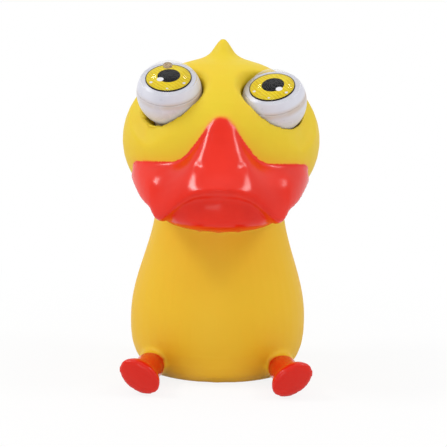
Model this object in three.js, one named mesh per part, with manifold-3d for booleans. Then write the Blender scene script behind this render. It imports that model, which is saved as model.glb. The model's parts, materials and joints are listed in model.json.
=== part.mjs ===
// Squeeze duck with pop-out eyes. A hollow moulded vinyl skin holds the air, and squeezing it
// pushes two eyeballs out of their sockets on elastic sleeves that pull them back again.
// Millimetres, +Z up. The bill points along -Y, and the origin is the middle of the footprint,
// on the table. Left and right are as seen from the front.

import * as THREE from "three";
import { mergeVertices } from "three/addons/utils/BufferGeometryUtils.js";
import Module from "manifold-3d";

// Skin: a pear-shaped body that runs into an egg-shaped head with a tuft on its crown
const WALL = 2.2;
const BASE_WALL = 3;
const BASE_WIDTH = 43;
const BASE_DEPTH = 37;
const BELLY_WIDTH = 56;
const BELLY_DEPTH = 53;
const BELLY_HEIGHT = 17.5;
const NECK_WIDTH = 40.4;
const NECK_DEPTH = 38.6;
const NECK_HEIGHT = 56;
const NECK_FILLET = 4;
const HEAD_WIDTH = 62.6;
const HEAD_DEPTH = 57.2;
const HEAD_TALL = 52;
const HEAD_HEIGHT = 74.5;
const TUFT_WIDTH = 10;
const TUFT_RISE = 5.6;
const TUFT_FILLET = 3;
const TUFT_ROOT = 1;
const TUFT_TAPER = 0.75;

// Upper bill: a visor round the face, with a raised bridge and a drooping lip
const BILL_WIDTH = 57.6;
const BILL_REACH = 13.4;
const BILL_SPAN = 76;
const BILL_STEP = 0.8;
const WING_DROP = 6.4;
const WING_BULGE = 3;
const WING_TIP = 17;
const WING_TIP_DROP = 4.2;
const BRIDGE_RISE = 15.7;
const BRIDGE_WIDTH = 19.2;
const BRIDGE_FLARE = 0.65;
const LIP_ROUND = 0.9;
const LIP_TUCK = 3.4;
const LIP_FACE = 1.8;
const LIP_FACE_WIDTH = 22;
const LIP_BACK_RISE = 4;
// Walls of vinyl between the hollow and the tip of the lip
const LIP_SOLIDITY = 3.2;
// The lip's edge: degrees round from the front, and height against the head's centre
const LIP_EDGE = [
  [0, -12.1],
  [18, -14.1],
  [39, -22],
  [47, -18.7],
  [57, -16.7],
  [67, -13.7],
  [76, -11.7],
];

// Lower bill: a rounded slab behind the lip
const JAW_WIDTH = 38;
const JAW_TALL = 16;
const JAW_DROP = 17.8;
const JAW_SETBACK = 3;
const JAW_SQUARENESS = 3;

// Feet: oval paddles with flat soles, on short legs that reach out along the table
const FOOT_LENGTH = 14;
const FOOT_WIDTH = 10.4;
const FOOT_THICK = 5.5;
const FOOT_SOLE = 1;
const FOOT_SPACING = 46;
const FOOT_REACH = 10;
const FOOT_ROLL = 34;
const FOOT_YAW = 20;
const FOOT_PITCH = 16;
const ANKLE_WIDTH = 8.4;
const LEG_WIDTH = 9.5;
const HIP_SPACING = 38;
const FLOOR_CLEARANCE = 0.3;

// Eyes: a white ball of two cups, a printed disc on its flat front and a clear dome over that
const EYE_DIAMETER = 20;
const EYE_TURN = 44.4;
const EYE_LIFT = 34.8;
const EYE_SINK = 3.2;
const EYE_AXIS_TILT = 52;
const EYE_LOOK_UP = 5.5;
const EYE_LEAN = { left: -2.5, right: -8.5 };
const EYE_REST_POP = { left: 2.7, right: 0 };
const EYE_SEAM = 1.9;
const CUP_WALL = 1.4;
const EYE_FLAT = 4.8;
const IRIS_DIAMETER = 14;
const IRIS_THICK = 0.4;
const DOME_WALL = 0.9;
const GAP = 0.3;

// Sockets: a moulded well, round behind the ball, with a throat that the elastic sleeve hooks under
const SOCKET_CLEARANCE = 0.5;
const SOCKET_WALL = 1.6;
const SOCKET_ROOM = 0.3;
const SOCKET_FLARE = 30;
const SOCKET_FLARE_START = 4.5;
const THROAT_DIAMETER = 10;
const THROAT_LENGTH = 3;
const SLEEVE_WALL = 0.7;
const SLEEVE_HOOK = 1.2;
const SLEEVE_FLANGE = 0.8;
const SLEEVE_BEAD = 0.5;
const SLEEVE_GRIP = 9;

// Plug that closes the moulding hole in the base
const PLUG_DIAMETER = 19;
const PLUG_THICK = 0.8;
const PLUG_STEM = 15.4;
const PLUG_BARB = 0.8;
const PLUG_BARB_TALL = 1.2;

// Facets
const SKIN_RINGS = 34;
const SKIN_SIDES = 44;
const CAVITY_RINGS = 16;
const CAVITY_SIDES = 20;
const BILL_RIBS = 32;
const BILL_SLOPE_STEPS = 5;
const ROUND_SIDES = 24;
// Rings of the tuft, as shares of its rise down from the tip
const TUFT_SHARES = [1, 0.8, 0.55, 0.3, 0.12, 0.03];

const YELLOW = 0xe6bd3b;
const WHITE = 0xe9e7ec;
const IRIS_YELLOW = 0xe2c943;
const CREAM = 0xe4dccb;

const UP = new THREE.Vector3(0, 0, 1);
const radians = THREE.MathUtils.degToRad;
const wasm = await Module();
wasm.setup();

// Solids

function toSolid(geometry) {
  const bare = new THREE.BufferGeometry();
  bare.setAttribute("position", geometry.getAttribute("position"));
  bare.setIndex(geometry.index);
  const merged = mergeVertices(bare, 1e-4);
  const corners = merged.index.array;
  const triangles = [];
  for (let i = 0; i < corners.length; i += 3) {
    const [a, b, c] = corners.slice(i, i + 3);
    if (a !== b && b !== c && c !== a) triangles.push(a, b, c);
  }
  return new wasm.Manifold(
    new wasm.Mesh({
      numProp: 3,
      vertProperties: merged.getAttribute("position").array,
      triVerts: Uint32Array.from(triangles),
    }),
  );
}

function toGeometry(solid) {
  const { vertProperties, triVerts } = solid.getMesh();
  const geometry = new THREE.BufferGeometry();
  geometry.setAttribute("position", new THREE.BufferAttribute(vertProperties, 3));
  geometry.setIndex(new THREE.BufferAttribute(triVerts, 1));
  geometry.computeVertexNormals();
  return geometry;
}

// Closed surface through rings of points, each ring counterclockwise about the way the rings run.
// The last ring closes on the tip, or on its own middle.
function loft(rings, tip) {
  const sides = rings[0].length;
  const points = rings.flat();
  const triangles = [];
  for (let r = 0; r + 1 < rings.length; r++) {
    for (let s = 0; s < sides; s++) {
      const a = r * sides + s;
      const b = r * sides + ((s + 1) % sides);
      triangles.push(a, b, a + sides, b, b + sides, a + sides);
    }
  }
  const middle = (ring) => ring.reduce((sum, p) => sum.add(p), new THREE.Vector3()).divideScalar(sides);
  const last = (rings.length - 1) * sides;
  points.push(middle(rings[0]), tip ?? middle(rings.at(-1)));
  for (let s = 0; s < sides; s++) {
    const next = (s + 1) % sides;
    triangles.push(next, s, points.length - 2);
    triangles.push(last + s, last + next, points.length - 1);
  }
  const geometry = new THREE.BufferGeometry().setFromPoints(points);
  return geometry.setIndex(triangles);
}

// Solid turned about +Z from a closed outline of [radius, height] points.
function turned(outline, sides = ROUND_SIDES) {
  const points = outline.map(([radius, height]) => new THREE.Vector2(radius, height));
  return new THREE.LatheGeometry(points, sides).rotateX(Math.PI / 2);
}

// Points on a circle about the axis, from one polar angle to another, in degrees off +Z.
function arc(radius, from, to, steps) {
  return Array.from({ length: steps + 1 }, (_, i) => {
    const angle = radians(from + ((to - from) * i) / steps);
    return [radius * Math.sin(angle), radius * Math.cos(angle)];
  });
}

// Skin sections

const ACROSS = { base: BASE_WIDTH, belly: BELLY_WIDTH, neck: NECK_WIDTH, head: HEAD_WIDTH };
const ALONG = { base: BASE_DEPTH, belly: BELLY_DEPTH, neck: NECK_DEPTH, head: HEAD_DEPTH };
const CROWN = HEAD_HEIGHT + HEAD_TALL / 2;
const TUFT_TOP = CROWN + TUFT_RISE;

function smoothMax(a, b, fillet) {
  const near = Math.max(fillet - Math.abs(a - b), 0) / fillet;
  return Math.max(a, b) + (near * near * fillet) / 4;
}

const signedRoot = (value) => Math.sign(value) * Math.sqrt(Math.abs(value));

function bodyHalf(z, size) {
  if (z < BELLY_HEIGHT) {
    return (size.belly - (size.belly - size.base) * (1 - z / BELLY_HEIGHT) ** 3) / 2;
  }
  const share = Math.min((z - BELLY_HEIGHT) / (NECK_HEIGHT - BELLY_HEIGHT), 1);
  const ease = (1 + Math.cos(Math.PI * share)) / 2;
  return (size.neck + (size.belly - size.neck) * ease) / 2;
}

function headHalf(z, size, inset) {
  const high = (z - HEAD_HEIGHT) / (HEAD_TALL / 2 - inset);
  return (size.head / 2 - inset) * signedRoot(1 - high * high);
}

// Half the skin's width or depth at a height. The tuft is moulded solid, so an inset skin has none.
function skinHalf(z, size, inset = 0) {
  const head = headHalf(z, size, inset);
  if (z < HEAD_HEIGHT) return smoothMax(bodyHalf(z, size) - inset, head, NECK_FILLET);
  if (inset) return head;
  const root = CROWN - TUFT_ROOT;
  const left = Math.min((TUFT_TOP - z) / (TUFT_TOP - root), 1);
  return smoothMax(head, (TUFT_WIDTH / 2) * Math.max(left, 0) ** TUFT_TAPER, TUFT_FILLET);
}

function ellipse(halfWidth, halfDepth, z, sides) {
  return Array.from({ length: sides }, (_, i) => {
    const angle = (2 * Math.PI * i) / sides;
    return new THREE.Vector3(halfWidth * Math.cos(angle), halfDepth * Math.sin(angle), z);
  });
}

// The skin from its base to its top, with its rings evenly spaced along the outline.
function skin(bottom, top, rings, sides, inset) {
  const fine = Array.from({ length: 401 }, (_, i) => {
    const z = bottom + (top - bottom) * Math.sin((Math.PI / 2) * (i / 400));
    return new THREE.Vector2(Math.max(skinHalf(z, ACROSS, inset), 0), z);
  });
  const spaced = new THREE.SplineCurve(fine).getSpacedPoints(rings);
  const heights = spaced.map((p) => p.y).filter((z) => z < CROWN - TUFT_ROOT - inset);
  if (!inset) heights.push(...TUFT_SHARES.map((share) => TUFT_TOP - (TUFT_RISE + TUFT_ROOT / 2) * share));
  return toSolid(
    loft(
      heights.map((z) => ellipse(skinHalf(z, ACROSS, inset), skinHalf(z, ALONG, inset), z, sides)),
      new THREE.Vector3(0, 0, top),
    ),
  );
}

// Bill

const bell = (x, width) => Math.exp(-(((2 * x) / width) ** 2));
const lipCurve = new THREE.SplineCurve(
  [...LIP_EDGE.slice(1).reverse().map(([a, h]) => [-a, h]), ...LIP_EDGE].map(
    ([angle, height]) => new THREE.Vector2(angle, height),
  ),
);

function lipHeight(angle) {
  let [low, high] = [0, 1];
  for (let i = 0; i < 30; i++) {
    const middle = (low + high) / 2;
    if (lipCurve.getPoint(middle).x < angle) low = middle;
    else high = middle;
  }
  return HEAD_HEIGHT + lipCurve.getPoint(low).y;
}

// One rib of the upper bill, in the upright plane at an angle round from the front. It starts
// inside the head, comes out of the face at the bill's top edge and runs over the lip.
function billRib(angle, inset) {
  const turn = radians(angle);
  const across = (size) => (size / 2) * Math.sin(turn);
  const along = (size) => -(size / 2) * Math.cos(turn);
  const reach = HEAD_DEPTH + 2 * (BILL_REACH - LIP_SOLIDITY * inset);
  const front = new THREE.Vector2(across(BILL_WIDTH - 2 * inset), along(reach));
  const root = new THREE.Vector2(across(HEAD_WIDTH / 2), along(HEAD_DEPTH / 2));
  const length = front.distanceTo(root);
  const tip = Math.max(1 - (BILL_SPAN - Math.abs(angle)) / WING_TIP, 0);
  const wing = HEAD_HEIGHT - WING_DROP - WING_TIP_DROP * (1 - Math.sqrt(1 - tip * tip));
  const top = wing + BRIDGE_RISE * bell(front.x, BRIDGE_WIDTH) - inset;
  const lip = lipHeight(angle) + inset;
  const outside = (share) => {
    const p = root.clone().lerp(front, share);
    return (p.x / skinHalf(top, ACROSS)) ** 2 + (p.y / skinHalf(top, ALONG)) ** 2 > 1;
  };
  let [low, high] = [0, 1];
  for (let i = 0; i < 30; i++) {
    const middle = (low + high) / 2;
    if (outside(middle)) high = middle;
    else low = middle;
  }
  const edge = low + (BILL_STEP - inset) / length;
  const sideways = THREE.MathUtils.smoothstep(Math.abs(angle), 0, 0.75 * BILL_SPAN);
  const bulge = THREE.MathUtils.lerp(BRIDGE_FLARE, WING_BULGE, sideways);
  const section = [[0, top]];
  for (let i = 0; i <= BILL_SLOPE_STEPS; i++) {
    const share = 1 - i / BILL_SLOPE_STEPS;
    section.push([1 - (1 - edge) * share ** bulge, lip + LIP_ROUND + (top - lip - LIP_ROUND) * share]);
  }
  const face = LIP_ROUND + LIP_FACE * bell(front.x, LIP_FACE_WIDTH);
  section.push([1 - (0.3 * LIP_ROUND) / length, lip]);
  section.push([1 - LIP_TUCK / length, lip - face]);
  section.push([0, lip + LIP_BACK_RISE]);
  return section.map(([share, z]) => {
    const p = root.clone().lerp(front, share);
    return new THREE.Vector3(p.x, p.y, z);
  });
}

function upperBill(span, ribs, inset) {
  const rings = Array.from({ length: ribs + 1 }, (_, i) =>
    billRib(span * ((2 * i) / ribs - 1), inset),
  );
  return toSolid(loft(rings));
}

const signedPower = (value, power) => Math.sign(value) * Math.abs(value) ** power;

function lowerBill(inset) {
  const front = HEAD_DEPTH / 2 + BILL_REACH - JAW_SETBACK;
  const middle = new THREE.Vector3(0, -front / 2, HEAD_HEIGHT - JAW_DROP);
  const power = 2 / JAW_SQUARENESS;
  const ball = new THREE.SphereGeometry(1, 24, 12).rotateX(Math.PI / 2);
  const place = ball.getAttribute("position");
  const p = new THREE.Vector3();
  for (let i = 0; i < place.count; i++) {
    p.fromBufferAttribute(place, i);
    const ring = Math.hypot(p.x, p.y) || 1;
    const flat = signedPower(Math.hypot(p.x, p.y), power) / ring;
    place.setXYZ(
      i,
      middle.x + (JAW_WIDTH / 2 - inset) * p.x * flat,
      middle.y + (front / 2 - inset) * p.y * flat,
      middle.z + (JAW_TALL / 2 - inset) * signedPower(p.z, power),
    );
  }
  return toSolid(ball);
}

// Feet

function foot(side) {
  const paddle = new THREE.SphereGeometry(1, 18, 10);
  const place = paddle.getAttribute("position");
  for (let i = 0; i < place.count; i++) {
    const deep = place.getY(i);
    place.setXYZ(
      i,
      (place.getX(i) * FOOT_LENGTH) / 2,
      deep * (deep < 0 ? FOOT_SOLE : FOOT_THICK),
      (place.getZ(i) * FOOT_WIDTH) / 2,
    );
  }
  const [pitch, roll, yaw] = [FOOT_PITCH, -side * FOOT_ROLL, side * FOOT_YAW].map(radians);
  const pose = new THREE.Euler(pitch, roll, yaw, "ZXY");
  paddle.applyMatrix4(new THREE.Matrix4().makeRotationFromEuler(pose));
  paddle.computeBoundingBox();
  const centre = new THREE.Vector3(
    (side * FOOT_SPACING) / 2,
    -BELLY_DEPTH / 2 - FOOT_REACH,
    FLOOR_CLEARANCE - paddle.boundingBox.min.z,
  );
  paddle.translate(...centre);
  const hip = new THREE.Vector3((side * HIP_SPACING) / 2, -BASE_DEPTH / 4, FLOOR_CLEARANCE + LEG_WIDTH / 2);
  const out = centre.clone().sub(hip).normalize();
  const ankle = centre.clone().addScaledVector(out, -ANKLE_WIDTH / 3);
  const leg = new THREE.CylinderGeometry(ANKLE_WIDTH / 2, LEG_WIDTH / 2, ankle.distanceTo(hip), 18);
  leg.applyQuaternion(new THREE.Quaternion().setFromUnitVectors(new THREE.Vector3(0, 1, 0), out));
  leg.translate(...ankle.clone().add(hip).divideScalar(2));
  return toSolid(paddle).add(toSolid(leg));
}

// Eye seats: on the head's surface, sunk a little, with the travel axis tilted up from the front

const tilt = radians(EYE_AXIS_TILT);
const EYE_AXIS = new THREE.Vector3(0, -Math.cos(tilt), Math.sin(tilt));

function eyeSeat(side) {
  const turn = radians(EYE_TURN);
  const lift = radians(EYE_LIFT);
  const seat = new THREE.Vector3(
    (side * Math.sin(turn) * Math.cos(lift) * HEAD_WIDTH) / 2,
    (-Math.cos(turn) * Math.cos(lift) * HEAD_DEPTH) / 2,
    (Math.sin(lift) * HEAD_TALL) / 2,
  );
  seat.setLength(seat.length() - EYE_SINK);
  return seat.add(new THREE.Vector3(0, 0, HEAD_HEIGHT));
}

const EYE_RADIUS = EYE_DIAMETER / 2;
const WELL_RADIUS = EYE_RADIUS + SOCKET_CLEARANCE;
const THROAT_TOP = -SOCKET_ROOM - Math.sqrt(WELL_RADIUS ** 2 - (THROAT_DIAMETER / 2) ** 2);
const THROAT_END = THROAT_TOP - THROAT_LENGTH;

function onEyeAxis(geometry, side) {
  const turnedUp = new THREE.Quaternion().setFromUnitVectors(UP, EYE_AXIS);
  return geometry.applyQuaternion(turnedUp).translate(...eyeSeat(side));
}

// The hollow of a socket, or its outside at the wall's thickness: a throat, a round bottom about the
// ball at its deepest and a straight bore that flares to its mouth.
function socketBore(wall, end, side) {
  const radius = WELL_RADIUS + wall;
  const throat = THROAT_DIAMETER / 2 + wall;
  const narrow = 180 - THREE.MathUtils.radToDeg(Math.asin(throat / radius));
  const mouth = HEAD_TALL / 2;
  const flare = (mouth - SOCKET_FLARE_START) * Math.tan(radians(SOCKET_FLARE));
  const outline = [
    [0, end],
    [throat, end],
    ...arc(radius, narrow, 90, 4).map(([r, h]) => [r, h - SOCKET_ROOM]),
    [radius, SOCKET_FLARE_START],
    [radius + flare, mouth],
    [0, mouth],
  ];
  return toSolid(onEyeAxis(turned(outline), side));
}

// Body skin, moulded in one with the bill, tuft, legs and feet

function bodySkin() {
  const plain = skin(0, TUFT_TOP, SKIN_RINGS, SKIN_SIDES, 0);
  const cavity = skin(BASE_WALL, CROWN - WALL, CAVITY_RINGS, CAVITY_SIDES, WALL)
    .add(upperBill(BILL_SPAN / 2, BILL_RIBS / 4, WALL))
    .add(lowerBill(WALL));
  let moulding = plain
    .add(upperBill(BILL_SPAN, BILL_RIBS, 0))
    .add(lowerBill(0))
    .add(foot(-1))
    .add(foot(1))
    .subtract(cavity);
  for (const side of [-1, 1]) {
    const collar = socketBore(SOCKET_WALL, THROAT_END, side);
    moulding = moulding
      .add(collar.intersect(plain))
      .subtract(socketBore(0, THROAT_END - SOCKET_WALL, side));
  }
  const hole = PLUG_STEM / 2 + GAP;
  const recess = PLUG_DIAMETER / 2 + GAP;
  const seat = PLUG_THICK + 2 * GAP;
  const [below, above] = [-BASE_WALL, 2 * BASE_WALL];
  const outline = [[0, below], [recess, below], [recess, seat], [hole, seat], [hole, above], [0, above]];
  return moulding.subtract(toSolid(turned(outline)));
}

function basePlug() {
  const stem = PLUG_STEM / 2;
  const under = BASE_WALL + GAP;
  const over = under + PLUG_BARB_TALL;
  const face = PLUG_DIAMETER / 2;
  return turned([
    [0, GAP],
    [face, GAP],
    [face, GAP + PLUG_THICK],
    [stem, GAP + PLUG_THICK],
    [stem, under],
    [stem + GAP + PLUG_BARB, under],
    [stem, over],
    [0, over],
  ]);
}

// Eyeball pieces, about the ball's centre with the pupil along +Z

const degreesOff = (height, radius) => THREE.MathUtils.radToDeg(Math.acos(height / radius));

function frontCup() {
  const inner = EYE_RADIUS - CUP_WALL;
  const ceiling = EYE_FLAT - CUP_WALL;
  const brim = EYE_SEAM + GAP / 2;
  return turned([
    ...arc(EYE_RADIUS, degreesOff(brim, EYE_RADIUS), degreesOff(EYE_FLAT, EYE_RADIUS), 3),
    [0, EYE_FLAT],
    [0, ceiling],
    ...arc(inner, degreesOff(ceiling, inner), degreesOff(brim, inner), 2),
    arc(EYE_RADIUS, degreesOff(brim, EYE_RADIUS), 0, 1)[0],
  ]);
}

function rearCup() {
  const inner = EYE_RADIUS - CUP_WALL;
  const brim = EYE_SEAM - GAP / 2;
  return turned([
    ...arc(inner, degreesOff(brim, inner), 180, 6),
    ...arc(EYE_RADIUS, 180, degreesOff(brim, EYE_RADIUS), 8),
    arc(inner, degreesOff(brim, inner), 0, 1)[0],
  ]);
}

function irisDisc() {
  const bottom = EYE_FLAT + GAP;
  const top = bottom + IRIS_THICK;
  const radius = IRIS_DIAMETER / 2;
  return turned([[0, bottom], [radius, bottom], [radius, top], [0, top]]);
}

function clearDome() {
  const bottom = EYE_FLAT + GAP;
  const inner = EYE_RADIUS - DOME_WALL;
  return turned([
    ...arc(EYE_RADIUS, degreesOff(bottom, EYE_RADIUS), 0, 4),
    ...arc(inner, 0, degreesOff(bottom, inner), 3),
    arc(EYE_RADIUS, degreesOff(bottom, EYE_RADIUS), 0, 1)[0],
  ]);
}

// Elastic sleeve from a hook under the socket's throat up to a bead round the back of the ball.
function eyeSleeve(pop) {
  const outer = THROAT_DIAMETER / 2 - GAP;
  const inner = outer - SLEEVE_WALL;
  const hook = outer + GAP + SLEEVE_HOOK;
  const top = THROAT_END - GAP;
  const grip = pop - SLEEVE_GRIP;
  const ball = (z) => Math.sqrt(EYE_RADIUS ** 2 - (z - pop) ** 2) + GAP;
  return turned([
    [inner, top - SLEEVE_FLANGE],
    [hook, top - SLEEVE_FLANGE],
    [hook, top],
    [outer, top],
    [outer, grip],
    [ball(grip), grip],
    [ball(grip - SLEEVE_BEAD), grip - SLEEVE_BEAD],
    [inner, grip - 2 * SLEEVE_BEAD],
    [inner, top - SLEEVE_FLANGE],
  ]);
}

// Assembly

function finish(color, roughness, extra = {}) {
  return new THREE.MeshStandardMaterial({ color, roughness, metalness: 0, ...extra });
}

function piece(name, geometry, material) {
  const mesh = new THREE.Mesh(toGeometry(toSolid(geometry)), material);
  mesh.name = name;
  return mesh;
}

function eye(name, side) {
  const socket = new THREE.Group();
  socket.position.copy(eyeSeat(side));
  socket.quaternion.setFromUnitVectors(UP, EYE_AXIS);
  socket.add(piece(`${name}_eye_sleeve`, eyeSleeve(EYE_REST_POP[name]), finish(CREAM, 0.6)));
  const ball = new THREE.Group();
  ball.position.z = EYE_REST_POP[name];
  ball.rotation.set(radians(-EYE_LOOK_UP), radians(EYE_LEAN[name]), 0);
  ball.add(
    piece(`${name}_eye_rear_cup`, rearCup(), finish(WHITE, 0.4)),
    piece(`${name}_eye_front_cup`, frontCup(), finish(WHITE, 0.3)),
    piece(`${name}_iris_disc`, irisDisc(), finish(IRIS_YELLOW, 0.3)),
    piece(`${name}_eye_dome`, clearDome(), finish(WHITE, 0.05, { transparent: true, opacity: 0.2 })),
  );
  socket.add(ball);
  return socket;
}

const duck = new THREE.Group();
const shell = new THREE.Mesh(toGeometry(bodySkin()), finish(YELLOW, 0.55));
shell.name = "body_skin";
duck.add(shell, piece("base_plug", basePlug(), finish(YELLOW, 0.6)), eye("left", -1), eye("right", 1));

const reach = new THREE.Box3().setFromObject(duck);
duck.position.y = -(reach.min.y + reach.max.y) / 2;
const toy = new THREE.Group();
toy.add(duck);

export default toy;
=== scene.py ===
"""Looks of a squeeze duck with pop-out eyes: a soft vinyl skin with a sprayed bill and feet,
ball eyes with a printed iris under a clear dome, and the elastic sleeves that carry them."""

import json
import math

import bpy
import numpy as np
from mathutils import Matrix, Vector
from mathutils.bvhtree import BVHTree


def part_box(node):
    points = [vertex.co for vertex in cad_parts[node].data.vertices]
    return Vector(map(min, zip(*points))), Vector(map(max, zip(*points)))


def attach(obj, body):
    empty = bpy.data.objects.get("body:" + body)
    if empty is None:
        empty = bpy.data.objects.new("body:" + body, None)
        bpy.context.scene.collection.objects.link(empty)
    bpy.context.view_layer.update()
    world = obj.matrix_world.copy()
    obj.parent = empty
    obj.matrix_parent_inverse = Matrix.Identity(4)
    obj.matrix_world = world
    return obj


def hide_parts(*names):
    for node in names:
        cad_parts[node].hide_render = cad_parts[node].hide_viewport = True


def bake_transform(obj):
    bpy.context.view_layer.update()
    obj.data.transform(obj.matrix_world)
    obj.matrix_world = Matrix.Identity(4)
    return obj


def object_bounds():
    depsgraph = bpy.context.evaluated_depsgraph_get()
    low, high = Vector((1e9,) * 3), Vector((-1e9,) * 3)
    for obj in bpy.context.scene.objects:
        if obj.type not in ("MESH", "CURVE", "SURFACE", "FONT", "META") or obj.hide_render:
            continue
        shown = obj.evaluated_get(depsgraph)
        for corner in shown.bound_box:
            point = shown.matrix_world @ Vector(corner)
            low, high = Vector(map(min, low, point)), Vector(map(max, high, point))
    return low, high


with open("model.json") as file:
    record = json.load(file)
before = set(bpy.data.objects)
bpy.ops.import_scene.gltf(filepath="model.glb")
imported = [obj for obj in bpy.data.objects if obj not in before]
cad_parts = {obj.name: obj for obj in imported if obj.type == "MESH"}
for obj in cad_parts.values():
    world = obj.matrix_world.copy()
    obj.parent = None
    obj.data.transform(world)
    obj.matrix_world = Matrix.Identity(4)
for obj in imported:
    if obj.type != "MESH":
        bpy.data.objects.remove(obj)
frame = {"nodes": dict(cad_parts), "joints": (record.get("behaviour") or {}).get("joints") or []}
cad_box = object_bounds()

MM = 0.001
SIDES = {"left": -1, "right": 1}

# Camera
IMAGE_PIXELS = 447
FOCAL_PIXELS = 1406.25
CAMERA_DISTANCE = 450 * MM
CAMERA_ELEVATION = math.radians(8)
CAMERA_ROLL = math.radians(1.2)
AIM_HEIGHT = 47.6 * MM
AIM_RIGHT = 1.3 * MM

# Skin
SKIN_VOXEL = 0.78 * MM
CLEAR_OF_BACK = 10 * MM
SKIN_SMOOTHING = 6
BILL_BOTTOM = 46 * MM
BILL_TOP = 88 * MM
FACE_BACK = 4 * MM
FEET_TOP = 14 * MM
FOOT_PAINT = 18 * MM
NOSTRIL = (6.4 * MM, 69.2 * MM)
NOSTRIL_RADIUS = 1.2 * MM
NOSTRIL_DEPTH = 0.5 * MM
PAINT_STARTS = 0.2 * MM
PAINT_FULL = 0.75 * MM
PROUD_LIMITS = (-1 * MM, 2 * MM)
PAINT_EVENING = 10
PAINT_FADE = 1.5 * MM
HALO_STEPS = 14
CREASE_STEPS = 24
CREASE_FILL = (0.45, 0.6)
APEX_FADE = (75 * MM, 82 * MM)
RIM_REACH = 4 * MM
RIM_DEPTH = 11.5 * MM
RIM_WHOLE = 0.75 * RIM_DEPTH
RIM_GAP = 0.15 * MM
RIM_DRAWN = (0.3 * MM, 1.2 * MM)
RIM_FEATHER = 4
RIM_EVENING = 24
TUFT_FOOT = 97 * MM
MOUTH_HALF = 18 * MM
MOUTH_BACK = 18 * MM
MOUTH_HEIGHTS = (50 * MM, 63 * MM)
MOUTH_FADE = 1 * MM

# Eyes
EYE_RADIUS = 10 * MM
EYE_SEAM = 1.9 * MM
EYE_FLAT = 4.8 * MM
IRIS_RADIUS = 7 * MM
SPECKS = (
    (-5.0 * MM, -2.7 * MM, 0.4 * MM),
    (5.0 * MM, -2.7 * MM, 0.4 * MM),
    (0.2 * MM, -5.7 * MM, 0.25 * MM),
)
IRIS_BOTTOM = 5.1 * MM
IRIS_TOP = 5.5 * MM
CUP_WALL = 1.4 * MM
DOME_WALL = 0.3 * MM
GATE_RADIUS = 1.45 * MM
GATE_RISE = 0.3 * MM
ROUND_STEPS = 96

# Sleeves
SLEEVE_HOOK = 6.2 * MM
SLEEVE_OUTER = 4.7 * MM
SLEEVE_INNER = 4.0 * MM
SLEEVE_FLANGE = 0.8 * MM
SLEEVE_RIBS = 4
RIB_STEPS = 8
RIB_DEPTH = 0.3 * MM
SLEEVE_LIP = 1 * MM
SLEEVE_LIP_FLARE = 0.3 * MM


def body_axis():
    low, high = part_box("base_plug")
    return (low.y + high.y) / 2


def eye_axis(name):
    joint = next(j for j in frame["joints"] if j["child"] == f"{name}_eye")
    return Vector(joint["axis"])


# Nodes


def material(name):
    mat = bpy.data.materials.new(name)
    mat.use_nodes = True
    tree = mat.node_tree
    return mat, tree, tree.nodes["Principled BSDF"]


def add(tree, kind, inputs=None, **settings):
    node = tree.nodes.new(kind)
    for key, value in settings.items():
        setattr(node, key, value)
    for key, value in (inputs or {}).items():
        plug(tree, node.inputs[key], value)
    return node


def plug(tree, socket, value):
    if isinstance(value, bpy.types.NodeSocket):
        tree.links.new(value, socket)
    elif isinstance(value, (tuple, list)) and socket.type == "RGBA":
        socket.default_value = (*value, 1)
    else:
        socket.default_value = value


def calc(tree, operation, a, b=0.0, c=0.0):
    node = add(tree, "ShaderNodeMath", operation=operation)
    for socket, value in zip(node.inputs, (a, b, c)):
        plug(tree, socket, value)
    return node.outputs[0]


def mix_color(tree, share, a, b, blend="MIX"):
    node = add(tree, "ShaderNodeMix", data_type="RGBA", blend_type=blend)
    for index, value in ((0, share), (6, a), (7, b)):
        plug(tree, node.inputs[index], value)
    return node.outputs[2]


def span(tree, value, low, high, to_low=0.0, to_high=1.0):
    node = add(tree, "ShaderNodeMapRange", interpolation_type="SMOOTHSTEP")
    for index, item in enumerate((value, low, high, to_low, to_high)):
        plug(tree, node.inputs[index], item)
    return node.outputs[0]


def noise(tree, place, scale, detail=2.0, roughness=0.5):
    inputs = {"Vector": place, "Scale": scale, "Detail": detail, "Roughness": roughness}
    return add(tree, "ShaderNodeTexNoise", inputs).outputs["Fac"]


def object_place(tree):
    return add(tree, "ShaderNodeTexCoord").outputs["Object"]


def bump(tree, height, distance, strength=1.0, normal=None):
    inputs = {"Height": height, "Distance": distance, "Strength": strength}
    if normal is not None:
        inputs["Normal"] = normal
    return add(tree, "ShaderNodeBump", inputs).outputs["Normal"]


# Materials


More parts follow.
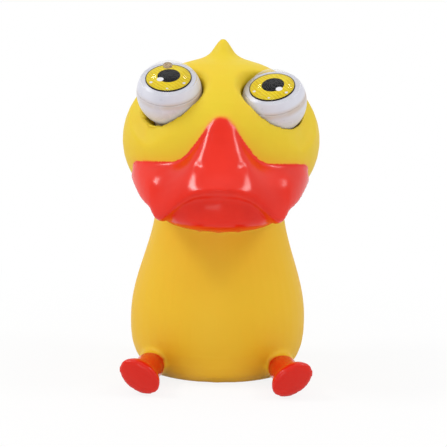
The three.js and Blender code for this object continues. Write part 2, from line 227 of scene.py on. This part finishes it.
def vinyl_material():
    mat, tree, skin = material("painted_vinyl")
    place = object_place(tree)
    height = add(tree, "ShaderNodeSeparateXYZ", {"Vector": place}).outputs["Z"]
    cloud = noise(tree, place, 60, 3)
    grain = noise(tree, place, 900, 2)
    paint = add(tree, "ShaderNodeAttribute", attribute_name="paint").outputs["Fac"]
    halo = add(tree, "ShaderNodeAttribute", attribute_name="halo").outputs["Fac"]
    ragged = calc(tree, "MULTIPLY_ADD", calc(tree, "SUBTRACT", grain, 0.5), 0.1, paint)
    mask = span(tree, ragged, 0.2, 0.8)
    # Painted light: the yellow is a paler lemon high up and a deeper orange-yellow low down, standing in
    # for the light from above and the shade lower on the body.
    top_lit_yellow = mix_color(tree, span(tree, height, 0.03, 0.1), (0.79, 0.48, 0.018), (0.76, 0.57, 0.025))
    yellow = mix_color(tree, span(tree, cloud, 0.35, 0.7, 0.0, 0.25), top_lit_yellow, (0.79, 0.45, 0.018))
    dusted = mix_color(tree, calc(tree, "MULTIPLY", halo, 0.55), yellow, (0.86, 0.2, 0.012))
    red = mix_color(tree, span(tree, cloud, 0.3, 0.7), (0.72, 0.014, 0.002), (0.8, 0.018, 0.003))
    # Painted shade: the red is darker near the floor, on the feet, whose soles face down into shade.
    red = mix_color(tree, span(tree, height, 0.012, 0.03, 0.7, 0), red, (0.62, 0.01, 0.002))
    plug(tree, skin.inputs["Base Color"], mix_color(tree, mask, dusted, red))
    satin = span(tree, cloud, 0.3, 0.7, 0.5, 0.58)
    gloss = span(tree, cloud, 0.3, 0.7, 0.18, 0.26)
    rough = add(tree, "ShaderNodeMix", data_type="FLOAT")
    for index, value in ((0, mask), (2, satin), (3, gloss)):
        plug(tree, rough.inputs[index], value)
    plug(tree, skin.inputs["Roughness"], rough.outputs[0])
    skin.inputs["Subsurface Weight"].default_value = 0.08
    skin.inputs["Subsurface Radius"].default_value = (0.004, 0.002, 0.0008)
    skin.inputs["Subsurface Scale"].default_value = 1.0
    skin.inputs["IOR"].default_value = 1.34
    peel = bump(tree, noise(tree, place, 420, 1), 0.02 * MM, 0.5)
    plug(tree, skin.inputs["Normal"], bump(tree, cloud, 0.1 * MM, 0.3, peel))
    return mat


def eye_white_material():
    mat, tree, white = material("eye_white_plastic")
    place = object_place(tree)
    height = add(tree, "ShaderNodeSeparateXYZ", {"Vector": place}).outputs["Z"]
    cloud = noise(tree, place, 160, 3)
    from_seam = calc(tree, "ABSOLUTE", calc(tree, "SUBTRACT", height, EYE_SEAM - 0.5 * MM))
    seam = span(tree, from_seam, 0.2 * MM, 1.8 * MM, 1, 0)
    # A brownish band along the seam: partly the joint between the two cups, partly painted shade and
    # painted reflection of the yellow socket round the ball.
    seam_and_shade = calc(tree, "MULTIPLY", seam, span(tree, cloud, 0.25, 0.7, 0.25, 0.8))
    # Below the seam the white turns cream: partly the rear cup's own tint, partly painted shade and
    # painted reflection of the yellow socket.
    below = span(tree, height, -3 * MM, EYE_SEAM, 0.5, 0)
    clean = mix_color(tree, span(tree, cloud, 0.3, 0.7), (0.62, 0.62, 0.7), (0.69, 0.69, 0.76))
    cream = mix_color(tree, below, clean, (0.66, 0.62, 0.57))
    plug(tree, white.inputs["Base Color"], mix_color(tree, seam_and_shade, cream, (0.56, 0.45, 0.36)))
    plug(tree, white.inputs["Roughness"], span(tree, cloud, 0.3, 0.7, 0.26, 0.36))
    plug(tree, white.inputs["Normal"], bump(tree, noise(tree, place, 700, 2), 0.02 * MM, 0.4))
    return mat


def iris_material():
    mat, tree, ink = material("printed_iris")
    place = object_place(tree)
    axes = add(tree, "ShaderNodeSeparateXYZ", {"Vector": place}).outputs
    side = add(tree, "ShaderNodeAttribute", attribute_type="OBJECT", attribute_name="side")

    def ring(x, y):
        dx = calc(tree, "SUBTRACT", axes["X"], x)
        dy = calc(tree, "SUBTRACT", axes["Y"], y)
        squares = calc(tree, "ADD", calc(tree, "POWER", dx, 2.0), calc(tree, "POWER", dy, 2.0))
        return calc(tree, "SQRT", squares)

    edge = 0.08 * MM
    pupil = span(tree, ring(0.0, 1.0 * MM), 3.45 * MM, 3.45 * MM + edge, 1, 0)
    dot_x = calc(tree, "MULTIPLY", side.outputs["Fac"], 2.4 * MM)
    dot = span(tree, ring(dot_x, -1.0 * MM), 1.0 * MM, 1.0 * MM + edge, 1, 0)
    for x, y, size in SPECKS:
        speck = span(tree, ring(x, y), size, size + 2 * edge, 1, 0)
        dot = calc(tree, "MAXIMUM", dot, speck)
    outline = span(tree, ring(0.0, 0.0), 6.7 * MM, 6.7 * MM + edge)
    lines = add(
        tree,
        "ShaderNodeTexWave",
        {"Vector": place, "Scale": 420, "Distortion": 3.0, "Detail": 2.0},
        bands_direction="DIAGONAL",
    )
    cloud = noise(tree, place, 260, 3)
    field = mix_color(tree, lines.outputs["Fac"], (0.86, 0.66, 0.02), (0.72, 0.5, 0.012))
    field = mix_color(tree, span(tree, cloud, 0.4, 0.7, 0, 0.5), field, (0.88, 0.74, 0.06))
    printed = mix_color(tree, pupil, field, (0.006, 0.006, 0.007))
    printed = mix_color(tree, outline, printed, (0.02, 0.012, 0.01))
    plug(tree, ink.inputs["Base Color"], mix_color(tree, dot, printed, (0.82, 0.82, 0.86)))
    plug(tree, ink.inputs["Roughness"], span(tree, cloud, 0.3, 0.7, 0.45, 0.6))
    ink.inputs["Specular IOR Level"].default_value = 0.1
    return mat


def clear_material():
    mat, tree, gloss = material("clear_plastic")
    place = object_place(tree)
    smear = noise(tree, place, 120, 3)
    gloss.inputs["Base Color"].default_value = (1, 1, 1, 1)
    gloss.inputs["Metallic"].default_value = 1.0
    plug(tree, gloss.inputs["Roughness"], span(tree, smear, 0.35, 0.75, 0.03, 0.07))
    clear = add(tree, "ShaderNodeBsdfTransparent", {"Color": (0.985, 0.985, 0.985)})
    both = add(tree, "ShaderNodeMixShader")
    mirror = add(tree, "ShaderNodeFresnel", {"IOR": 1.2}).outputs[0]
    outside = calc(tree, "SUBTRACT", 1.0, add(tree, "ShaderNodeNewGeometry").outputs["Backfacing"])
    plug(tree, both.inputs[0], calc(tree, "MULTIPLY", mirror, outside))
    plug(tree, both.inputs[1], clear.outputs[0])
    plug(tree, both.inputs[2], gloss.outputs[0])
    plug(tree, tree.nodes["Material Output"].inputs["Surface"], both.outputs[0])
    return mat


def gate_material():
    mat, tree, stub = material("gate_plastic")
    place = object_place(tree)
    cloud = noise(tree, place, 900, 2)
    tint = mix_color(tree, span(tree, cloud, 0.3, 0.7), (0.5, 0.36, 0.22), (0.62, 0.48, 0.32))
    plug(tree, stub.inputs["Base Color"], tint)
    stub.inputs["Transmission Weight"].default_value = 0.5
    stub.inputs["IOR"].default_value = 1.3
    plug(tree, stub.inputs["Roughness"], span(tree, cloud, 0.3, 0.7, 0.2, 0.4))
    return mat


def sleeve_material():
    mat, tree, rubber = material("sleeve_rubber")
    place = object_place(tree)
    cloud = noise(tree, place, 300, 3)
    plug(
        tree,
        rubber.inputs["Base Color"],
        mix_color(tree, span(tree, cloud, 0.3, 0.7), (0.62, 0.5, 0.34), (0.7, 0.6, 0.45)),
    )
    plug(tree, rubber.inputs["Roughness"], span(tree, cloud, 0.3, 0.7, 0.5, 0.65))
    plug(tree, rubber.inputs["Normal"], bump(tree, noise(tree, place, 900, 2), 0.03 * MM, 0.5))
    return mat


def plug_material():
    mat, tree, vinyl = material("plug_vinyl")
    place = object_place(tree)
    cloud = noise(tree, place, 90, 3)
    plug(
        tree,
        vinyl.inputs["Base Color"],
        mix_color(tree, span(tree, cloud, 0.3, 0.7), (0.8, 0.45, 0.02), (0.86, 0.52, 0.03)),
    )
    plug(tree, vinyl.inputs["Roughness"], span(tree, cloud, 0.3, 0.7, 0.45, 0.6))
    plug(tree, vinyl.inputs["Normal"], bump(tree, noise(tree, place, 700, 2), 0.03 * MM, 0.5))
    return mat


# Meshes


def piece(name, points, faces, mat, slot):
    mesh = bpy.data.meshes.new(name)
    mesh.from_pydata([tuple(p) for p in points], [], faces)
    mesh.validate()
    mesh.materials.append(mat)
    obj = bpy.data.objects.new(name, mesh)
    bpy.context.scene.collection.objects.link(obj)
    for polygon in mesh.polygons:
        polygon.use_smooth = True
    return obj


def turned(outline, steps=ROUND_STEPS):
    """Points and faces of an outline of (radius, height) points turned about +Z. The outline is
    open, starting and ending on the axis, or closed round a ring."""
    points = []
    rows = []
    for radius, height in outline:
        if radius < 1e-9:
            rows.append([len(points)] * steps)
            points.append((0, 0, height))
            continue
        rows.append(list(range(len(points), len(points) + steps)))
        for s in range(steps):
            angle = 2 * math.pi * s / steps
            points.append((radius * math.cos(angle), radius * math.sin(angle), height))
    closed = outline[0][0] > 1e-9
    pairs = list(zip(rows, rows[1:])) + ([(rows[-1], rows[0])] if closed else [])
    faces = []
    for lower, upper in pairs:
        for s in range(steps):
            t = (s + 1) % steps
            face = (lower[s], lower[t], upper[t], upper[s])
            faces.append(tuple(dict.fromkeys(face)))
    return points, [f for f in faces if len(f) > 2]


def arc(radius, low, high, steps):
    """Points on a circle about the centre, between two heights."""
    first, last = math.asin(low / radius), math.asin(high / radius)
    angles = np.linspace(first, last, steps)
    return [(max(radius * math.cos(a), 0.0), radius * math.sin(a)) for a in angles]


# Skin


def remeshed(node):
    """An evenly meshed, smoothed copy of a CAD node's surface."""
    rough = bpy.data.objects.new("rough", frame["nodes"][node].data.copy())
    bpy.context.scene.collection.objects.link(rough)
    even = rough.modifiers.new("even", "REMESH")
    even.mode = "VOXEL"
    even.voxel_size = SKIN_VOXEL
    soft = rough.modifiers.new("soft", "SMOOTH")
    soft.factor = 0.5
    soft.iterations = SKIN_SMOOTHING
    bpy.context.view_layer.update()
    made = rough.evaluated_get(bpy.context.evaluated_depsgraph_get())
    mesh = bpy.data.meshes.new_from_object(made)
    bpy.data.objects.remove(rough)
    return mesh


def smoothstep(value, low, high):
    share = np.clip((value - low) / (high - low), 0, 1)
    return share * share * (3 - 2 * share)


def spread(mesh, values, steps):
    """Values averaged along the mesh's edges, so that they fade out past their edge."""
    edges = np.zeros(len(mesh.edges) * 2, np.int32)
    mesh.edges.foreach_get("vertices", edges)
    a, b = edges.reshape(-1, 2).T
    count = np.bincount(a, minlength=len(values)) + np.bincount(b, minlength=len(values))
    for _ in range(steps):
        total = np.bincount(a, values[b], len(values)) + np.bincount(b, values[a], len(values))
        values = (values + total / np.maximum(count, 1)) / 2
    return values


def proud_of_face(points):
    """How far each point stands out of the bare face. The back of the toy has no bill and no feet,
    so its mirror image is the front without them."""
    cad = frame["nodes"]["body_skin"].data
    tree = BVHTree.FromPolygons([v.co for v in cad.vertices], [p.vertices for p in cad.polygons])
    axis = body_axis()
    behind = cad_box[1][1] + CLEAR_OF_BACK
    proud = np.full(len(points), -1.0)
    for i, (x, y, z) in enumerate(points):
        if y > axis - FACE_BACK or not (z < FEET_TOP or BILL_BOTTOM < z < BILL_TOP):
            continue
        hit = tree.ray_cast(Vector((x, behind, z)), Vector((0, -1, 0)))[0]
        proud[i] = (2 * axis - hit.y) - y if hit else 1.0
    return proud


def cling(points, name):
    """The soft socket rim drawn in under the ball, where the ball stands out past its widest part."""
    axis = np.array(eye_axis(name))
    away = points - np.array(eye_place(name).translation)
    height = away @ axis
    radial = away - height[:, None] * axis
    radius = np.maximum(np.linalg.norm(radial, axis=1), 1e-6)
    ball = np.sqrt(np.maximum(EYE_RADIUS**2 - np.minimum(height, 0) ** 2, 0)) + RIM_GAP
    bore = EYE_RADIUS + 2 * RIM_GAP
    outside = smoothstep(radius, bore + RIM_REACH, bore)
    wall = smoothstep(radius, bore - 3 * RIM_GAP, bore - RIM_GAP)
    shallow = smoothstep(height, -RIM_DEPTH, -RIM_WHOLE)
    drawn = (bore - ball) * outside * wall * shallow
    points -= radial / radius[:, None] * drawn[:, None]
    return drawn


def in_mouth(points):
    """1 on the front of the mouth and jaw, where the paint also fills the creases."""
    x, y, z = points.T
    low, high = MOUTH_HEIGHTS
    upright = smoothstep(z, low - MOUTH_FADE, low) * smoothstep(z, high + MOUTH_FADE, high)
    back = body_axis() - MOUTH_BACK
    ahead = smoothstep(y, back + MOUTH_FADE, back)
    return smoothstep(abs(x), MOUTH_HALF + MOUTH_FADE, MOUTH_HALF) * upright * ahead


def make_skin():
    mesh = remeshed("body_skin")
    points = np.zeros(len(mesh.vertices) * 3)
    mesh.vertices.foreach_get("co", points)
    points = points.reshape(-1, 3)
    lost = cad_box[1][2] - points[:, 2].max()
    points[:, 2] += lost * smoothstep(points[:, 2], TUFT_FOOT, cad_box[1][2])
    proud = np.clip(proud_of_face(points), *PROUD_LIMITS)
    paint = smoothstep(spread(mesh, proud, PAINT_EVENING), PAINT_STARTS, PAINT_FULL)
    paint = np.maximum(paint, smoothstep(spread(mesh, paint, CREASE_STEPS), *CREASE_FILL))
    paint = np.maximum(paint, in_mouth(points))
    drawn = sum(cling(points, name) for name in SIDES)
    share = spread(mesh, smoothstep(drawn, *RIM_DRAWN), RIM_FEATHER)[:, None]
    even = np.stack([spread(mesh, values, RIM_EVENING) for values in points.T], 1)
    points += (even - points) * share
    low = points[:, 2] < FEET_TOP
    paint_end = points[low, 1].min() + FOOT_PAINT
    paint[low] *= smoothstep(points[low, 1], paint_end + PAINT_FADE, paint_end - PAINT_FADE)
    for side in SIDES.values():
        away = np.hypot(points[:, 0] - side * NOSTRIL[0], points[:, 2] - NOSTRIL[1])
        dent = NOSTRIL_DEPTH * np.exp(-((away / NOSTRIL_RADIUS) ** 2)) * (points[:, 1] < body_axis())
        points[:, 1] += dent
    mesh.vertices.foreach_set("co", points.ravel())
    halo = spread(mesh, paint, HALO_STEPS) * smoothstep(points[:, 2], *MOUTH_HEIGHTS)
    soft = smoothstep(points[:, 2], *APEX_FADE)
    paint = paint * (1 - soft) + halo * soft
    for name, values in (("paint", paint), ("halo", halo)):
        attribute = mesh.attributes.new(name, "FLOAT", "POINT")
        attribute.data.foreach_set("value", values.astype(np.float32))
    mesh.materials.clear()
    mesh.materials.append(vinyl_material())
    for polygon in mesh.polygons:
        polygon.use_smooth = True
    skin = bpy.data.objects.new("skin", mesh)
    bpy.context.scene.collection.objects.link(skin)
    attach(skin, "duck")
    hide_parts("body_skin")


# Eyes


def eye_place(name):
    """The ball's own frame: its centre, with the pupil along +Z and the top of the print along +Y."""
    disc = frame["nodes"][f"{name}_iris_disc"].data
    points = np.array([v.co for v in disc.vertices])
    middle = points.mean(0)
    normal = Vector(np.linalg.svd(points - middle)[2][2])
    if normal.z < 0:
        normal.negate()
    up = (Vector((0, 0, 1)) - normal * normal.z).normalized()
    right = up.cross(normal)
    turn = Matrix((right, up, normal)).transposed().to_4x4()
    centre = Vector(middle) - normal * (IRIS_BOTTOM + IRIS_TOP) / 2
    return Matrix.Translation(centre) @ turn


def make_eye(name, white, ink, clear):
    place = eye_place(name)
    body = f"{name}_eye"
    groove = 0.05 * MM
    inner = EYE_RADIUS - CUP_WALL
    brim = EYE_SEAM + groove
    face = IRIS_BOTTOM - 0.02 * MM
    front_outline = [
        *arc(EYE_RADIUS, brim, face, 20),
        (0, face),
        (0, EYE_FLAT - CUP_WALL),
        *reversed(arc(inner, brim, EYE_FLAT - CUP_WALL, 8)),
    ]
    rear_outline = [
        (0, -EYE_RADIUS),
        *arc(EYE_RADIUS, -EYE_RADIUS * 0.9999, EYE_SEAM - groove, 40)[1:],
        *reversed(arc(inner, -inner * 0.9999, EYE_SEAM - groove, 20)[1:]),
        (0, -inner),
    ]
    iris_outline = [(0, IRIS_BOTTOM), (IRIS_RADIUS, IRIS_BOTTOM), (IRIS_RADIUS, IRIS_TOP), (0, IRIS_TOP)]
    hollow = EYE_RADIUS - DOME_WALL
    dome_outline = [
        *arc(EYE_RADIUS, IRIS_BOTTOM, EYE_RADIUS, 24),
        *reversed(arc(hollow, IRIS_BOTTOM, hollow, 24)),
    ]
    rows = (
        ("front_cup", front_outline, white, "eye_white", f"{name}_eye_front_cup"),
        ("rear_cup", rear_outline, white, "eye_white", f"{name}_eye_rear_cup"),
        ("iris", iris_outline, ink, "printed_iris", f"{name}_iris_disc"),
        ("dome", dome_outline, clear, "clear_dome", f"{name}_eye_dome"),
    )
    for kind, outline, mat, slot, node in rows:
        obj = piece(f"{name}_{kind}", *turned(outline), mat, slot)
        obj.matrix_world = place
        obj["side"] = float(SIDES[name])
        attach(obj, body)
        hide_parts(node)
    return place


def make_gate(place, mat):
    """The trimmed moulding gate at the pole of the left dome."""
    foot = EYE_RADIUS - GATE_RISE
    top = EYE_RADIUS + GATE_RISE
    cut = 0.85 * GATE_RADIUS
    outline = [(0, foot), (GATE_RADIUS, foot), (GATE_RADIUS, EYE_RADIUS), (cut, top), (0, top)]
    gate = piece("left_gate", *turned(outline, 32), mat, "clear_dome")
    gate.matrix_world = place
    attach(gate, "left_eye")


def make_sleeve(name, mat):
    """A ribbed elastic tube that stretches from the socket's throat to the back of the ball."""
    node = frame["nodes"][f"{name}_eye_sleeve"].data
    points = np.array([v.co for v in node.vertices])
    axis = eye_axis(name)
    middle = Vector(points.mean(0))
    along = (points - np.array(middle)) @ np.array(axis)
    foot, top = along.min(), along.max()
    outline = [(SLEEVE_INNER, foot), (SLEEVE_HOOK, foot), (SLEEVE_HOOK, foot + SLEEVE_FLANGE)]
    steps = RIB_STEPS * SLEEVE_RIBS
    for i in range(steps + 1):
        height = foot + SLEEVE_FLANGE + (top - foot - SLEEVE_FLANGE) * i / steps
        rib = RIB_DEPTH * (1 - math.cos(2 * math.pi * i / RIB_STEPS)) / 2
        outline.append((SLEEVE_OUTER - rib, height))
    outline += [(SLEEVE_INNER + SLEEVE_LIP_FLARE, top), (SLEEVE_INNER, top - SLEEVE_LIP)]
    sleeve = piece(f"{name}_sleeve", *turned(outline, 48), mat, "sleeve_rubber")
    sleeve.matrix_world = Matrix.Translation(middle) @ axis.to_track_quat("Z", "Y").to_matrix().to_4x4()
    bpy.context.view_layer.update()
    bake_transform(sleeve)
    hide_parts(f"{name}_eye_sleeve")


# Stage


def look_at(obj, place, target):
    obj.location = place
    obj.rotation_euler = (Vector(target) - Vector(place)).to_track_quat("-Z", "Y").to_euler()


def make_camera():
    ahead = Vector((0, math.cos(CAMERA_ELEVATION), -math.sin(CAMERA_ELEVATION)))
    target = Vector((AIM_RIGHT, body_axis(), AIM_HEIGHT))
    camera = bpy.data.objects.new("camera", bpy.data.cameras.new("camera"))
    camera.data.sensor_width = 36
    camera.data.lens = 36 * FOCAL_PIXELS / IMAGE_PIXELS
    camera.data.clip_start = 0.01
    look_at(camera, target - ahead * CAMERA_DISTANCE, target)
    camera.rotation_euler.rotate_axis("Z", CAMERA_ROLL)
    bpy.context.scene.collection.objects.link(camera)
    bpy.context.scene.camera = camera


def area_light(name, turn, lift, distance, width, height, power):
    """A softbox that faces the toy, turned right from the camera's side and lifted, in degrees."""
    aim = Vector((0, body_axis(), 60 * MM))
    turn, lift = math.radians(turn), math.radians(lift)
    way = Vector(
        (math.sin(turn) * math.cos(lift), -math.cos(turn) * math.cos(lift), math.sin(lift))
    )
    lamp = bpy.data.lights.new(name, "AREA")
    lamp.shape = "RECTANGLE"
    lamp.size = width
    lamp.size_y = height
    lamp.energy = power
    obj = bpy.data.objects.new(name, lamp)
    look_at(obj, aim + way * distance, aim)
    bpy.context.scene.collection.objects.link(obj)


def seen_rays(tree):
    path = add(tree, "ShaderNodeLightPath").outputs
    seen = calc(tree, "MAXIMUM", path["Is Camera Ray"], path["Is Glossy Ray"])
    return calc(tree, "MAXIMUM", seen, path["Is Transmission Ray"])


def make_stage():
    world = bpy.data.worlds.new("studio")
    world.use_nodes = True
    tree = world.node_tree
    level = add(tree, "ShaderNodeMix", data_type="FLOAT")
    for index, value in ((0, seen_rays(tree)), (2, 0.62), (3, 1.0)):
        plug(tree, level.inputs[index], value)
    plug(tree, tree.nodes["Background"].inputs["Strength"], level.outputs[0])
    tree.nodes["Background"].inputs["Color"].default_value = (1, 1, 1, 1)
    bpy.context.scene.world = world
    half = 3.0
    corners = [(-half, -half, 0), (half, -half, 0), (half, half, 0), (-half, half, 0)]
    mesh = bpy.data.meshes.new("floor")
    mesh.from_pydata(corners, [], [(0, 1, 2, 3)])
    mat, tree, paper = material("white_paper")
    paper.inputs["Base Color"].default_value = (0.88, 0.88, 0.88, 1)
    paper.inputs["Roughness"].default_value = 0.9
    glow = add(tree, "ShaderNodeEmission", {"Color": (1, 1, 1), "Strength": 1.0})
    both = add(tree, "ShaderNodeMixShader")
    far = add(tree, "ShaderNodeVectorMath", {0: object_place(tree)}, operation="LENGTH").outputs["Value"]
    white = span(tree, far, 0.05, 0.2, 0.86, 1)
    plug(tree, both.inputs[0], calc(tree, "MULTIPLY", seen_rays(tree), white))
    plug(tree, both.inputs[1], paper.outputs[0])
    plug(tree, both.inputs[2], glow.outputs[0])
    plug(tree, tree.nodes["Material Output"].inputs["Surface"], both.outputs[0])
    mesh.materials.append(mat)
    floor = bpy.data.objects.new("floor", mesh)
    bpy.context.scene.collection.objects.link(floor)
    area_light("left_box", -80, 46, 0.9, 0.22, 0.18, 2.6)
    area_light("right_box", 80, 46, 0.9, 0.22, 0.18, 1.8)
    area_light("top_box", 0, 80, 1.2, 1.4, 1.2, 1.9)
    area_light("front_box", -8, 4, 1.2, 0.5, 0.5, 1.9)
    bpy.context.scene.view_settings.view_transform = "Standard"


make_camera()
make_stage()
make_skin()
white, ink, clear, rubber = eye_white_material(), iris_material(), clear_material(), sleeve_material()
places = {side: make_eye(side, white, ink, clear) for side in SIDES}
make_gate(places["left"], gate_material())
for side in SIDES:
    make_sleeve(side, rubber)
frame["nodes"]["base_plug"].data.materials.clear()
frame["nodes"]["base_plug"].data.materials.append(plug_material())
